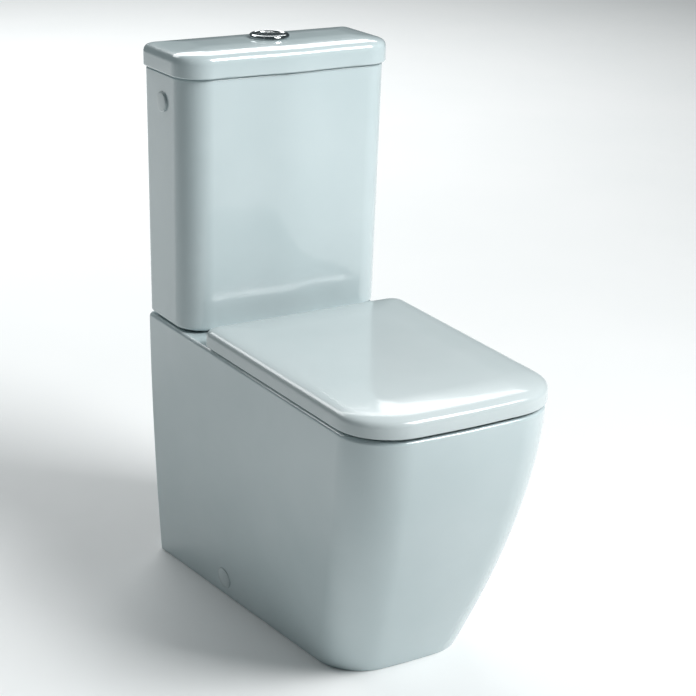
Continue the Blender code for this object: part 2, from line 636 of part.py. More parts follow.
def pin_way(name, sign, low, high):
    """A cutter on the hinge line, a little wider than the pin."""
    return across(name, HINGE_REACH, HINGE_Z, along_x(PIN_BORE, sign, low, high), steps=16)


def hinge_lug(name, xs, zs, forward):
    """A barrel on the hinge line with a web up to the lid or forward to the seat."""
    low_x, high_x = sorted(xs)
    barrel = across(name, HINGE_REACH, HINGE_Z, rod_profile(0.0060, low_x, high_x), steps=16)
    inside = (low_x + 0.0006, high_x - 0.0006)
    web = block(f"{name}_web", inside, (HINGE_REACH - 0.0050, HINGE_REACH + 0.0050 + forward), zs)
    return join(barrel, web)


def make_seat(white):
    proud = LID_PROUD - LID_WALL - 0.0035
    levels = ((SEAT_LOW_Z, 0.003), (SEAT_LOW_Z + 0.003, 0.0), (SEAT_TOP_Z - 0.006, 0.0), (SEAT_TOP_Z, 0.008))
    rings = [seat_ring_outline(z, proud - inset, SEAT_NEAR + inset / 2, 0.016) for z, inset in levels]
    seat = loft("seat_ring", rings, white)
    flare = ((SEAT_LOW_Z - 0.008, 0.0), (SEAT_TOP_Z - 0.005, 0.0), (SEAT_TOP_Z + 0.0015, 0.0085))
    opening_rings = [bowl_ring(z, OPENING_HALF, OPENING_NEAR, OPENING_FAR, grow) for z, grow in flare]
    cut(seat, loft("seat_opening", opening_rings))
    for side, sign in SIDES:
        lug = hinge_lug(f"seat_lug_{side}", (sign * 0.0870, sign * 0.1010), (0.4145, 0.4205), 0.022)
        join(seat, lug, solver="MANIFOLD")
        cut(seat, pin_way(f"seat_lug_bore_{side}", sign, 0.084, 0.104), solver="MANIFOLD")
    return seat


def make_hinges(parts):
    """On each side a post with an eye for the pin, bolted down through the deck by a nut under it."""
    post_heights, web_heights = (RIM_Z + GAP, 0.4075), (0.4060, HINGE_Z)
    web_reaches = (HINGE_REACH - 0.0052, HINGE_REACH + 0.0052)
    bolt = [(0.0, 0.345), (0.0030, 0.345), (0.0030, 0.4039), (0.0057, 0.4039), (0.0057, 0.4070)]
    bolt += [(0.0, 0.4070)]
    for side, sign in SIDES:
        x = sign * HINGE_X
        xs, web_xs = (sign * 0.0700, sign * 0.0850), (sign * 0.0704, sign * 0.0846)
        post = block(f"hinge_post_{side}", xs, (0.1805, 0.2200), post_heights, parts["chrome"])
        web = block(f"post_web_{side}", web_xs, web_reaches, web_heights)
        eye = rod_profile(0.0055, *sorted(xs))
        join(post, web, across(f"post_eye_{side}", HINGE_REACH, HINGE_Z, eye, steps=16))
        recess, hole = rod_profile(0.0062, 0.4036, 0.41), rod_profile(0.0033, 0.395, 0.41)
        cut(
            post,
            upright(f"post_recess_{side}", x, HINGE_BOLT_REACH, recess, steps=12),
            upright(f"post_hole_{side}", x, HINGE_BOLT_REACH, hole, steps=12),
            pin_way(f"post_pin_way_{side}", sign, 0.066, 0.089),
        )
        pin = along_x(PIN_RADIUS, sign, 0.0540, 0.1020)
        across(f"hinge_pin_{side}", HINGE_REACH, HINGE_Z, pin, parts["steel"], steps=16)
        upright(f"hinge_bolt_{side}", x, HINGE_BOLT_REACH, bolt, parts["steel"], steps=12)
        washer = pipe_profile(0.0034, 0.0130, 0.3705, DECK_UNDER_Z - GAP)
        upright(f"hinge_washer_{side}", x, HINGE_BOLT_REACH, washer, parts["rubber"], steps=16)
        middle = place(x, HINGE_BOLT_REACH, 0.0)
        nut(f"hinge_nut_{side}", 0.0034, 0.0090, 0.3600, 0.3702, middle, parts["grey"])


def make_buffers(rubber):
    """Feet under the seat, which rest on the pan's rim, and under the lid, which rest on the seat."""
    foot = [(0.0, RIM_Z + GAP), (0.0075, RIM_Z + GAP), (0.0085, 0.4030), (0.0085, SEAT_LOW_Z - GAP)]
    foot += [(0.0, SEAT_LOW_Z - GAP)]
    for end, x, reach in (("front", 0.080, BUFFER_REACH), ("back", 0.136, 0.300)):
        for side, sign in SIDES:
            upright(f"seat_buffer_{end}_{side}", sign * x, reach, foot, rubber, steps=16)
    stop = rod_profile(0.0065, SEAT_TOP_Z + GAP, LID_POCKET_Z - GAP)
    for side, sign in SIDES:
        upright(f"lid_buffer_{side}", sign * 0.080, BUFFER_REACH, stop, rubber, steps=16)


def main():
    clear_scene()
    parts = make_materials()
    make_pan(parts["china"])
    make_pan_fixings(parts)
    make_outlet_connector(parts["rubber"])
    make_tank(parts["china"])
    make_side_plugs(parts)
    make_cover(parts["china"])
    make_coupling_bolts(parts)
    make_flush_valve(parts)
    make_button(parts)
    make_fill_valve(parts)
    make_lid(parts["seat"])
    make_seat(parts["seat"])
    make_hinges(parts)
    make_buffers(parts["rubber"])


main()
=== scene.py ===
"""The close coupled toilet's looks: fine china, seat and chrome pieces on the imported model, and a studio.

Metres, +Z up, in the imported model's own frame: the front faces -Y and the wall is the back of the cistern.
"Reach" is a distance forward from the wall, as in the design.
"""

import json
import math

import bmesh
import bpy
from mathutils import Matrix, Vector


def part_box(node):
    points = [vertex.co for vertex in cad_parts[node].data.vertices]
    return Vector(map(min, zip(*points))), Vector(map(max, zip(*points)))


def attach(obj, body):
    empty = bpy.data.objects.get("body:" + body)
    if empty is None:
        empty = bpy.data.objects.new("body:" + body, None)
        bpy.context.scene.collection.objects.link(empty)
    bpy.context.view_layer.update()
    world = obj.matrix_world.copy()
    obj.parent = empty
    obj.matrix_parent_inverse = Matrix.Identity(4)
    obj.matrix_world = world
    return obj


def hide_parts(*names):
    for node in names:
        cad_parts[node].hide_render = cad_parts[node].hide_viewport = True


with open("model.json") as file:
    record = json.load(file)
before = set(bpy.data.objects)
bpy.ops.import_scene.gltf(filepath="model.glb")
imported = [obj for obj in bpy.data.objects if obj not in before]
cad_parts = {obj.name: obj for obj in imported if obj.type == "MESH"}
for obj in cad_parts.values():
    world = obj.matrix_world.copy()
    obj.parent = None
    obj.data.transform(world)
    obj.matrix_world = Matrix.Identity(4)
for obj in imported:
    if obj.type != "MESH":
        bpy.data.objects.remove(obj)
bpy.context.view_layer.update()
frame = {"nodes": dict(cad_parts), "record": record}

# Where the frame puts things
PAN_LOW, PAN_HIGH = (Vector(corner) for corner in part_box("pan"))
TANK_LOW, TANK_HIGH = (Vector(corner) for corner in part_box("cistern_tank"))
COVER_LOW, COVER_HIGH = (Vector(corner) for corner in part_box("cistern_cover"))
LID_LOW_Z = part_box("seat_lid")[0][2]
SEAT_LOW_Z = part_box("seat_ring")[0][2]

WALL = TANK_HIGH.y
BOW = 0.004
RIM_Z = PAN_HIGH.z
DECK_UNDER_Z = RIM_Z - 0.025
RIM_HALF_BACK = PAN_HIGH.x
RIM_HALF_FRONT = RIM_HALF_BACK - 0.0105
RIM_REACH = WALL - PAN_LOW.y - BOW
FOOT_HALF_BACK = RIM_HALF_BACK - 0.014
FOOT_HALF_FRONT = RIM_HALF_FRONT - 0.0495
FOOT_REACH = RIM_REACH - 0.125
RIM_CORNER, FOOT_CORNER = 0.075, 0.062
FORWARD_POWER, SIDEWAYS_POWER = 1.5, 1.75
PAN_WALL = 0.014

BOWL_MIDDLE, BOWL_HALF, BOWL_HALF_LENGTH = 0.414, 0.124, 0.168
TRAP_BORE, TRAP_WALL = 0.032, 0.009
OUTLET_Z, OUTLET_REACH = 0.180, 0.066
VALVE_REACH, COUPLING_X, FILL_X = 0.070, 0.082, -0.122

TANK_Z, TANK_TOP_Z = TANK_LOW.z, TANK_HIGH.z
TANK_HALF_TOP = TANK_HIGH.x
TANK_HALF_LOW = TANK_HALF_TOP - 0.003
TANK_REACH_TOP = WALL - TANK_LOW.y - BOW
TANK_REACH_LOW = TANK_REACH_TOP - 0.008
TANK_CORNER, TANK_WALL, TANK_FLOOR = 0.044, 0.011, 0.012
SIDE_HOLE_Z, SIDE_HOLE_REACH = TANK_TOP_Z - 0.042, 0.064
COVER_Z, COVER_TOP_Z = TANK_TOP_Z + 0.0003, COVER_HIGH.z
COVER_UNDER_Z = COVER_TOP_Z - 0.0155
COVER_HALF, COVER_CORNER, COVER_BOW = COVER_HIGH.x, 0.046, 0.0045
COVER_REACH = WALL - COVER_LOW.y - COVER_BOW

HINGE_Z, HINGE_REACH, HINGE_X, HINGE_BOLT_REACH = 0.420, 0.188, 0.0775, 0.208
PIN_BORE = 0.0036
LID_NEAR, LID_PROUD, LID_WALL, LID_BOW = 0.1770, 0.002, 0.0045, 0.0035
LID_POCKET_Z = 0.4265
SEAT_NEAR, SEAT_TOP_Z = 0.2065, SEAT_LOW_Z + 0.014
OPENING_HALF, OPENING_MIDDLE, OPENING_HALF_LENGTH = 0.104, 0.411, 0.149
FIXING_REACH, FIXING_Z = 0.195, 0.030
BUTTON_RADIUS = 0.022

SIDES = (("left", -1), ("right", 1))
UP, ACROSS, ALONG = Vector((0, 0, 1)), Vector((1, 0, 0)), Vector((0, 1, 0))


# Modelling


def start_edit():
    bpy.ops.object.mode_set(mode="EDIT")
    bpy.ops.mesh.select_mode(type="VERT")


def end_edit():
    bpy.ops.object.mode_set(mode="OBJECT")


def make_active(piece):
    bpy.ops.object.select_all(action="DESELECT")
    piece.select_set(True)
    bpy.context.view_layer.objects.active = piece


def pick(kind, wanted):
    """Selects, of the mesh being edited, only the verts, edges or faces that wanted says yes to."""
    bpy.ops.mesh.select_all(action="DESELECT")
    bpy.ops.mesh.select_mode(type=kind.upper())
    mesh = bmesh.from_edit_mesh(bpy.context.object.data)
    for item in {"VERT": mesh.verts, "EDGE": mesh.edges, "FACE": mesh.faces}[kind.upper()]:
        item.select_set(bool(wanted(item)))
    mesh.select_flush_mode()
    bmesh.update_edit_mesh(bpy.context.object.data)


def tidy_normals():
    bpy.ops.mesh.select_mode(type="VERT")
    bpy.ops.mesh.select_all(action="SELECT")
    bpy.ops.mesh.remove_doubles(threshold=0.00002)
    bpy.ops.mesh.normals_make_consistent(inside=False)


def named(name):
    """The active object under its own name, with its place in its mesh."""
    piece = bpy.context.object
    bpy.ops.object.transform_apply(location=True, rotation=True, scale=True)
    piece.name = name
    piece.data.name = name
    return piece


def combine(piece, others, operation, solver):
    """Joins the other shapes to a piece, or cuts them from it, and clears them away."""
    for other in others:
        modifier = piece.modifiers.new("shape", "BOOLEAN")
        modifier.operation = operation
        modifier.solver = solver
        modifier.object = other
        make_active(piece)
        bpy.ops.object.modifier_apply(modifier=modifier.name)
        bpy.data.objects.remove(other, do_unlink=True)
    return piece


def cut(piece, *others, solver="MANIFOLD"):
    return combine(piece, others, "DIFFERENCE", solver)


def join(piece, *others, solver="MANIFOLD"):
    return combine(piece, others, "UNION", solver)


def outline(z, half_back, half_front, near, far, corner_back, corner_front):
    """A flat outline with rounded corners: a plane with its front narrowed and its corners bevelled."""
    middle = WALL - (near + far) / 2
    bpy.ops.mesh.primitive_plane_add(size=1.0, location=(0.0, middle, z))
    ring = named("outline")
    start_edit()
    bpy.ops.transform.resize(value=(2 * half_back, far - near, 1.0), center_override=(0.0, middle, z))
    pick("vert", lambda vert: vert.co.y < middle)
    bpy.ops.transform.resize(value=(half_front / half_back, 1.0, 1.0), center_override=(0.0, middle, z))
    bpy.ops.mesh.bevel(affect="VERTICES", offset_type="OFFSET", offset=corner_front, segments=14)
    pick("vert", lambda vert: vert.co.y > WALL - near - 1e-5)
    bpy.ops.mesh.bevel(affect="VERTICES", offset_type="OFFSET", offset=corner_back, segments=5)
    bpy.ops.mesh.select_all(action="SELECT")
    bpy.ops.mesh.delete(type="ONLY_FACE")
    pick("edge", lambda edge: abs(edge.verts[0].co.x + edge.verts[1].co.x) < 1e-6)
    bpy.ops.mesh.subdivide(number_cuts=9)
    end_edit()
    return ring


def loft(name, outlines, bow=BOW):
    """A closed solid bridged from each outline to the next, filled at both ends and bowed at its front."""
    rings = [outline(*sizes) for sizes in outlines]
    heights = [sizes[0] for sizes in outlines]
    make_active(rings[0])
    for ring in rings:
        ring.select_set(True)
    bpy.ops.object.join()
    piece = named(name)
    start_edit()
    for low, high in zip(heights, heights[1:]):
        pick("vert", lambda vert: min(abs(vert.co.z - low), abs(vert.co.z - high)) < 2e-5)
        bpy.ops.mesh.bridge_edge_loops()
    for end in (heights[0], heights[-1]):
        pick("vert", lambda vert: abs(vert.co.z - end) < 2e-5)
        bpy.ops.mesh.edge_face_add()
    if bow:
        bow_front(bow)
    tidy_normals()
    end_edit()
    return piece


def bow_front(bow):
    """Draws the middle of the front forward, fading out towards its corners."""
    front = min(vert.co.y for vert in bmesh.from_edit_mesh(bpy.context.object.data).verts)
    back = max(vert.co.y for vert in bmesh.from_edit_mesh(bpy.context.object.data).verts)
    half_way = (front + back) / 2
    pick("vert", lambda vert: abs(vert.co.x) < 1e-5 and vert.co.y < half_way)
    bpy.ops.transform.translate(
        value=(0.0, -bow, 0.0),
        use_proportional_edit=True,
        proportional_edit_falloff="SMOOTH",
        proportional_size=min(0.13, half_way - front),
    )


def spun(name, profile, centre, axis=UP, steps=64):
    """A profile of (radius, height) points, extruded from one point and spun about an axis."""
    bpy.ops.object.select_all(action="DESELECT")
    (radius, height), closed = profile[0], profile[0][0] > 0.0
    bpy.ops.mesh.primitive_plane_add(size=0.001, location=(radius, 0.0, height))
    piece = named(name)
    start_edit()
    bpy.ops.mesh.merge(type="CENTER")
    for (radius, height), (next_radius, next_height) in zip(profile, profile[1:]):
        step = (next_radius - radius, 0.0, next_height - height)
        bpy.ops.mesh.extrude_region_move(TRANSFORM_OT_translate={"value": step})
    if closed:
        first, last = profile[0], profile[-1]
        ends = (Vector((first[0], 0.0, first[1])), Vector((last[0], 0.0, last[1])))
        pick("vert", lambda vert: min((vert.co - end).length for end in ends) < 1e-6)
        bpy.ops.mesh.edge_face_add()
    bpy.ops.mesh.select_all(action="SELECT")
    bpy.ops.mesh.spin(steps=steps, angle=2 * math.pi, center=(0.0, 0.0, 0.0), axis=(0.0, 0.0, 1.0))
    tidy_normals()
    end_edit()
    piece.matrix_world = Matrix.Translation(centre) @ UP.rotation_difference(axis).to_matrix().to_4x4()
    return named(name)


def block(name, xs, reaches, zs, rounding=0.0):
    """A box between two corners, its edges rounded if asked."""
    low = Vector((min(xs), WALL - max(reaches), min(zs)))
    high = Vector((max(xs), WALL - min(reaches), max(zs)))
    bpy.ops.object.select_all(action="DESELECT")
    bpy.ops.mesh.primitive_cube_add(size=1.0, location=(low + high) / 2, scale=high - low)
    piece = named(name)
    if rounding:
        start_edit()
        bpy.ops.mesh.select_all(action="SELECT")
        bpy.ops.mesh.bevel(offset=rounding, segments=4)
        end_edit()
    return piece


def place(x, reach, z):
    return Vector((x, WALL - reach, z))


def rod(radius, low, high):
    return [(0.0, low), (radius, low), (radius, high), (0.0, high)]


def upright_rod(name, x, reach, radius, low, high, steps=48):
    return spun(name, rod(radius, low, high), place(x, reach, 0.0), UP, steps)


def across_rod(name, reach, z, radius, low, high, steps=48):
    return spun(name, rod(radius, low, high), place(0.0, reach, z), ACROSS, steps)


def arc(middle, radius, start, end, steps):
    """(radius, height) points round part of a circle, its angles in degrees from the outward direction."""
    angles = [math.radians(start + (end - start) * i / steps) for i in range(steps + 1)]
    return [(middle[0] + radius * math.cos(a), middle[1] + radius * math.sin(a)) for a in angles]


def finished(piece, finish, body, slot, *nodes, sharp_angle=32.0):
    """A piece smoothed, given its finish, and put on its body in place of the design's plain solids."""
    make_active(piece)
    bpy.ops.object.shade_smooth_by_angle(angle=math.radians(sharp_angle))
    weighted = piece.modifiers.new("even_shading", "WEIGHTED_NORMAL")
    weighted.keep_sharp = True
    bpy.ops.object.modifier_apply(modifier=weighted.name)
    piece.data.materials.clear()
    piece.data.materials.append(finish)
    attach(piece, body)
    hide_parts(*nodes)
    return piece


def blend(low, high, share):
    return low + (high - low) * share


# Finishes


class Finish:
    """A material whose nodes are built up one by one on its Principled shader."""

    def __init__(self, name, **sockets):
        self.made = bpy.data.materials.new(name)
        self.made.use_nodes = True
        self.tree = self.made.node_tree
        self.shader = self.tree.nodes["Principled BSDF"]
        self.place = self.node("ShaderNodeTexCoord").outputs["Object"]
        for socket, value in sockets.items():
            self.shader.inputs[socket.replace("_", " ")].default_value = value

    def node(self, kind, **settings):
        made = self.tree.nodes.new(kind)
        for setting, value in settings.items():
            setattr(made, setting, value)
        return made

    def noise(self, scale, detail=3.0, roughness=0.5, stretch=None):
        made = self.node("ShaderNodeTexNoise")
        made.inputs["Scale"].default_value = scale
        made.inputs["Detail"].default_value = detail
        made.inputs["Roughness"].default_value = roughness
        source = self.place
        if stretch:
            mapping = self.node("ShaderNodeMapping")
            mapping.inputs["Scale"].default_value = stretch
            self.tree.links.new(source, mapping.inputs["Vector"])
            source = mapping.outputs["Vector"]
        self.tree.links.new(source, made.inputs["Vector"])
        return made.outputs["Fac"]

    def ramp(self, source, low, high, start=0.3, end=0.7):
        """Turns a pattern into a range of colours or of grey values."""
        made = self.node("ShaderNodeValToRGB")
        for element, position, value in zip(made.color_ramp.elements, (start, end), (low, high)):
            element.position = position
            element.color = (*value, 1.0) if isinstance(value, tuple) else (value, value, value, 1.0)
        self.tree.links.new(source, made.inputs["Fac"])
        return made.outputs["Color"]

    def colour(self, source):
        self.tree.links.new(source, self.shader.inputs["Base Color"])

    def roughness(self, source):
        self.tree.links.new(source, self.shader.inputs["Roughness"])

    def bump(self, *layers):
        """Each layer is a pattern and its depth in metres."""
        previous = None
        for pattern, depth in layers:
            made = self.node("ShaderNodeBump")
            made.inputs["Distance"].default_value = depth
            made.inputs["Strength"].default_value = 1.0
            self.tree.links.new(pattern, made.inputs["Height"])
            if previous:
                self.tree.links.new(previous, made.inputs["Normal"])
            previous = made.outputs["Normal"]
        self.tree.links.new(previous, self.shader.inputs["Normal"])


def glazed_china():
    """White vitreous china: a clear glaze, faintly uneven, over a body with a cool cast."""
    finish = Finish("glazed_china", IOR=1.52, Coat_Weight=0.6, Coat_Roughness=0.02, Coat_IOR=1.5)
    clouds = finish.noise(7.0, 3.0)
    finish.colour(finish.ramp(clouds, (0.520, 0.615, 0.632), (0.555, 0.645, 0.662)))
    finish.roughness(finish.ramp(finish.noise(28.0, 4.0), 0.13, 0.19))
    finish.bump((finish.noise(14.0, 1.0), 0.00020), (finish.noise(130.0, 2.0), 0.000012))
    return finish.made


def moulded_seat():
    """The seat's hard gloss plastic: flatter than the china, with fine polishing marks."""
    finish = Finish("moulded_seat", IOR=1.50, Coat_Weight=0.25, Coat_Roughness=0.04)
    finish.colour(finish.ramp(finish.noise(9.0, 2.0), (0.560, 0.635, 0.645), (0.590, 0.660, 0.670)))
    polish = finish.noise(60.0, 5.0, 0.6, stretch=(1.0, 5.0, 1.0))
    finish.roughness(finish.ramp(polish, 0.15, 0.22))
    finish.bump((finish.noise(11.0, 1.0), 0.00010), (finish.noise(420.0, 2.0), 0.000004))
    return finish.made


def polished_chrome():
    """Bright plating with a hazy, lightly wiped surface."""
    finish = Finish("polished_chrome", Metallic=1.0)
    finish.colour(finish.ramp(finish.noise(30.0, 2.0), (0.56, 0.59, 0.60), (0.66, 0.69, 0.70)))
    finish.roughness(finish.ramp(finish.noise(220.0, 5.0, 0.65), 0.07, 0.16))
    finish.bump((finish.noise(600.0, 3.0), 0.000003))
    return finish.made


def metal(name, dark, light, smooth, rough, grain):
    """Plain metal with drawn marks along its height."""
    finish = Finish(name, Metallic=1.0)
    finish.colour(finish.ramp(finish.noise(90.0, 4.0), dark, light))
    finish.roughness(finish.ramp(finish.noise(grain, 4.0, 0.6, stretch=(1.0, 1.0, 0.15)), smooth, rough))
    finish.bump((finish.noise(grain, 3.0), 0.00001))
    return finish.made


def moulded_plastic(name, dark, light, smooth, rough):
    """Matt moulded plastic with a fine spark-eroded grain and a little flow marbling."""
    finish = Finish(name, IOR=1.46)
    finish.colour(finish.ramp(finish.noise(16.0, 3.0), dark, light))
    finish.roughness(finish.ramp(finish.noise(300.0, 4.0), smooth, rough))
    finish.bump((finish.noise(1400.0, 2.0), 0.00002), (finish.noise(25.0, 1.0), 0.00006))
    return finish.made


def soft_rubber():
    """Black rubber, dull and finely pitted."""
    finish = Finish("soft_rubber", IOR=1.45)
    finish.colour(finish.ramp(finish.noise(120.0, 4.0), (0.018, 0.018, 0.019), (0.040, 0.040, 0.042)))
    finish.roughness(finish.ramp(finish.noise(240.0, 4.0), 0.55, 0.80))
    finish.bump((finish.noise(800.0, 3.0), 0.00003))
    return finish.made


FINISHES = {
    "china": glazed_china(),
    "white_plastic": moulded_seat(),
    "chrome": polished_chrome(),
    "steel": metal("zinc_plate", (0.47, 0.48, 0.49), (0.62, 0.62, 0.60), 0.26, 0.42, 260.0),
    "brass": metal("plain_brass", (0.60, 0.44, 0.20), (0.75, 0.57, 0.30), 0.22, 0.38, 260.0),
    "valve_plastic": moulded_plastic("valve_plastic", (0.72, 0.73, 0.72), (0.80, 0.81, 0.80), 0.36, 0.50),
    "grey_plastic": moulded_plastic("grey_plastic", (0.26, 0.28, 0.30), (0.33, 0.35, 0.37), 0.38, 0.55),
    "rubber": soft_rubber(),
}


def finish_frame():
    """Gives every solid of the design the finish of its slot, so that none keeps a plain colour."""
    slots = {part["node"]: part["material_slot"] for part in frame["record"]["subparts"]}
    for name, node in frame["nodes"].items():
        for material_slot in node.material_slots:
            material_slot.material = FINISHES[slots[name]]


# Pan


def pan_plan(z):
    share = max(0.0, min(1.0, z / RIM_Z))
    forward = 1 - (1 - share) ** FORWARD_POWER
    sideways = 1 - (1 - share) ** SIDEWAYS_POWER
    half_back = blend(FOOT_HALF_BACK, RIM_HALF_BACK, sideways)
    half_front = blend(FOOT_HALF_FRONT, RIM_HALF_FRONT, sideways)
    return half_back, half_front, blend(FOOT_REACH, RIM_REACH, forward), share


def pan_outline(z, inset=0.0, near=0.0):
    half_back, half_front, far, share = pan_plan(z)
    corner = blend(FOOT_CORNER, RIM_CORNER, share)
    return z, half_back - inset, half_front - inset, near, far - inset, 0.004, corner - inset


def pan_half(reach, z):
    half_back, half_front, far, _ = pan_plan(z)
    return blend(half_back, half_front, reach / far)


def bowl(name, grow, top_z, sump_z, lip=()):
    """The bowl as a solid, from the sump up to its opening, with a flared lip where one is given."""
    levels = (
        (0.150, 0.36, 0.34, -0.074),
        (0.172, 0.41, 0.42, -0.064),
        (0.195, 0.47, 0.50, -0.054),
        (0.217, 0.55, 0.60, -0.043),
        (0.240, 0.63, 0.70, -0.032),
        (0.265, 0.735, 0.79, -0.024),
        (0.290, 0.83, 0.87, -0.018),
        (0.315, 0.905, 0.925, -0.014),
        (0.340, 0.96, 0.965, -0.012),
        (0.368, 0.99, 0.99, -0.0125),
        (0.392, 1.00, 1.00, -0.014),
    )
    levels = [level for level in levels if level[0] < top_z - 0.002]
    levels = [(sump_z, 0.28, 0.24, -0.086)] + levels
    top = [(z, 1.0, 1.0, -0.014, flare) for z, flare in lip or ((top_z, 0.0),)]
    rings = []
    for z, wide, long, shift, flare in [(*level, 0.0) for level in levels] + top:
        half = BOWL_HALF * wide + grow + flare
        half_length = BOWL_HALF_LENGTH * long + grow + flare
        middle = BOWL_MIDDLE + shift
        corner = 0.90 * min(half, half_length)
        rings.append((z, half, half, middle - half_length, middle + half_length, corner, corner))
    return loft(name, rings, bow=0.0)


def pipe(name, route, radius):
    """A round solid along a smooth curve through the route's points, in the plane X = 0."""
    curve = bpy.data.curves.new(name, "CURVE")
    curve.dimensions = "3D"
    curve.bevel_depth = radius
    curve.bevel_resolution = 10
    curve.use_fill_caps = True
    curve.resolution_u = 6
    spline = curve.splines.new("BEZIER")
    spline.bezier_points.add(len(route) - 1)
    for point, (reach, z) in zip(spline.bezier_points, route):
        point.co = place(0.0, reach, z)
        point.handle_left_type = point.handle_right_type = "AUTO"
    piece = bpy.data.objects.new(name, curve)
    bpy.context.scene.collection.objects.link(piece)
    make_active(piece)
    bpy.ops.object.convert(target="MESH")
    start_edit()
    tidy_normals()
    end_edit()
    return piece


def trap_route(start, end_reach):
    points = [(0.335, 0.134), (0.298, 0.136), (0.262, 0.160), (0.240, 0.205), (0.212, 0.240)]
    points += [(0.175, 0.243), (0.147, 0.215), (0.118, 0.187), (0.090, OUTLET_Z), (end_reach, OUTLET_Z)]
    return points[start:]


def make_pan(china):
    """The pan: its skirt, the bowl, trapway and flush duct inside, and every hole through it."""
    skirt_heights = [0.394 * i / 16 for i in range(17)]
    rings = [pan_outline(z) for z in skirt_heights]
    rim_edge = ((0.0035, 0.0004), (0.0018, 0.0014), (0.0, 0.004))
    rings += [pan_outline(RIM_Z - drop, inset) for drop, inset in rim_edge]
    pan = loft("pan_china", rings)
    hollow_heights = (-0.01, 0.04, 0.09, 0.14, 0.19, 0.24, 0.29, 0.34, DECK_UNDER_Z)
    cut(pan, loft("pan_hollow", [pan_outline(z, PAN_WALL, near=-0.02) for z in hollow_heights]))
    join(
        pan,
        bowl("bowl_shell", 0.011, 0.385, 0.084),
        pipe("trap_shell", trap_route(1, OUTLET_REACH), TRAP_BORE + TRAP_WALL),
        block("duct_shell", (-0.045, 0.045), (0.020, 0.262), (0.292, 0.380), 0.006),
    )
    lip_edge = ((0.0045, 0.0), (0.0028, 0.0006), (0.0013, 0.0018), (0.0002, 0.0040))
    lip = [(RIM_Z - drop, flare) for drop, flare in lip_edge]
    lip.append((RIM_Z + 0.02, 0.0045))
    holes = [
        upright_rod("inlet_hole", 0.0, VALVE_REACH, 0.035, 0.35, 0.42),
        upright_rod("inlet_recess", 0.0, VALVE_REACH, 0.049, 0.384, 0.42),
        upright_rod("supply_hole", FILL_X, VALVE_REACH, 0.023, 0.36, 0.42),
    ]
    bore = [(0.0, -0.030), (0.0045, -0.030), (0.0045, -0.0075), (0.0125, -0.0075)]
    bore += [(0.0125, 0.02), (0.0, 0.02)]
    for side, sign in SIDES:
        holes.append(upright_rod(f"deck_hole_{side}", sign * COUPLING_X, VALVE_REACH, 0.0055, 0.36, 0.42, 24))
        hinge_x = sign * HINGE_X
        holes.append(upright_rod(f"hinge_hole_{side}", hinge_x, HINGE_BOLT_REACH, 0.006, 0.36, 0.42, 24))
        holes.append(spun(f"side_bore_{side}", bore, *fixing_frame(sign), 32))
    cut(
        pan,
        bowl("bowl_hollow", 0.0, 0.394, 0.096, lip),
        pipe("trap_hollow", trap_route(0, OUTLET_REACH - 0.02), TRAP_BORE),
        block("duct_hollow", (-0.036, 0.036), (0.029, 0.275), (0.300, 0.366)),
        *holes,
    )
    finished(pan, china, "root", "china", "pan")


def fixing_frame(sign):
    """The point on the pan's side over a floor fixing, and the side's outward direction there."""
    step = 0.01
    along_slope = (pan_half(FIXING_REACH + step, FIXING_Z) - pan_half(FIXING_REACH, FIXING_Z)) / step
    up_slope = (pan_half(FIXING_REACH, FIXING_Z + step) - pan_half(FIXING_REACH, FIXING_Z)) / step
    point = place(sign * pan_half(FIXING_REACH, FIXING_Z), FIXING_REACH, FIXING_Z)
    return point, Vector((sign, along_slope, -up_slope)).normalized()


def make_fixing_caps(white):
    """A domed cap over each floor fixing, its stem pressed into the pan's side."""
    angles = [i * math.pi / 20 for i in range(1, 10)]
    dome = [(0.0163 * math.cos(a), 0.0010 + 0.0024 * math.sin(a)) for a in angles]
    profile = [(0.0, -0.0034), (0.0118, -0.0034), (0.0118, 0.0004), (0.0159, 0.0004), (0.0165, 0.0009)]
    profile += dome + [(0.0, 0.0034)]
    for side, sign in SIDES:
        cap = spun(f"cap_{side}", profile, *fixing_frame(sign))
        finished(cap, white, "root", "white_plastic", f"fixing_cap_{side}")


def make_outlet_connector(rubber):
    """The soft sleeve over the spout, with sealing beads round it and a lip at each end."""
    spout = TRAP_BORE + TRAP_WALL
    outer = [(spout + 0.0125, 0.003), (spout + 0.0125, 0.0085)]
    outer += arc((spout + 0.0105, 0.0090), 0.002, 0, 90, 4)
    outer += [(spout + 0.007, 0.0120), (spout + 0.006, 0.0140)]
    for i in range(3):
        outer += arc((spout + 0.006, 0.030 + 0.014 * i), 0.0016, -90, 90, 6)
    outer += [(spout + 0.006, 0.076), (spout + 0.010, 0.080)]
    outer += [(spout + 0.010, 0.0885), (spout + 0.0085, 0.090)]
    profile = [(spout + 0.0006, 0.003)] + outer + [(spout + 0.0006, 0.090)]
    sleeve = spun("outlet_sleeve", [(r, -h) for r, h in profile], place(0.0, 0.0, OUTLET_Z), ALONG, 72)
    finished(sleeve, rubber, "root", "rubber", "outlet_connector")


# Cistern


def tank_outline(z, inset=0.0):
    share = (z - TANK_Z) / (TANK_TOP_Z - TANK_Z)
    half = blend(TANK_HALF_LOW, TANK_HALF_TOP, share) - inset
    reach = blend(TANK_REACH_LOW, TANK_REACH_TOP, share) - inset
    return z, half, half, inset, reach, 0.012, TANK_CORNER - inset


def cover_outline(z, inset=0.0):
    half = COVER_HALF - inset
    back_corner = max(0.003, 0.012 - inset / 2)
    return z, half, half, inset, COVER_REACH - inset, back_corner, max(0.010, COVER_CORNER - inset)


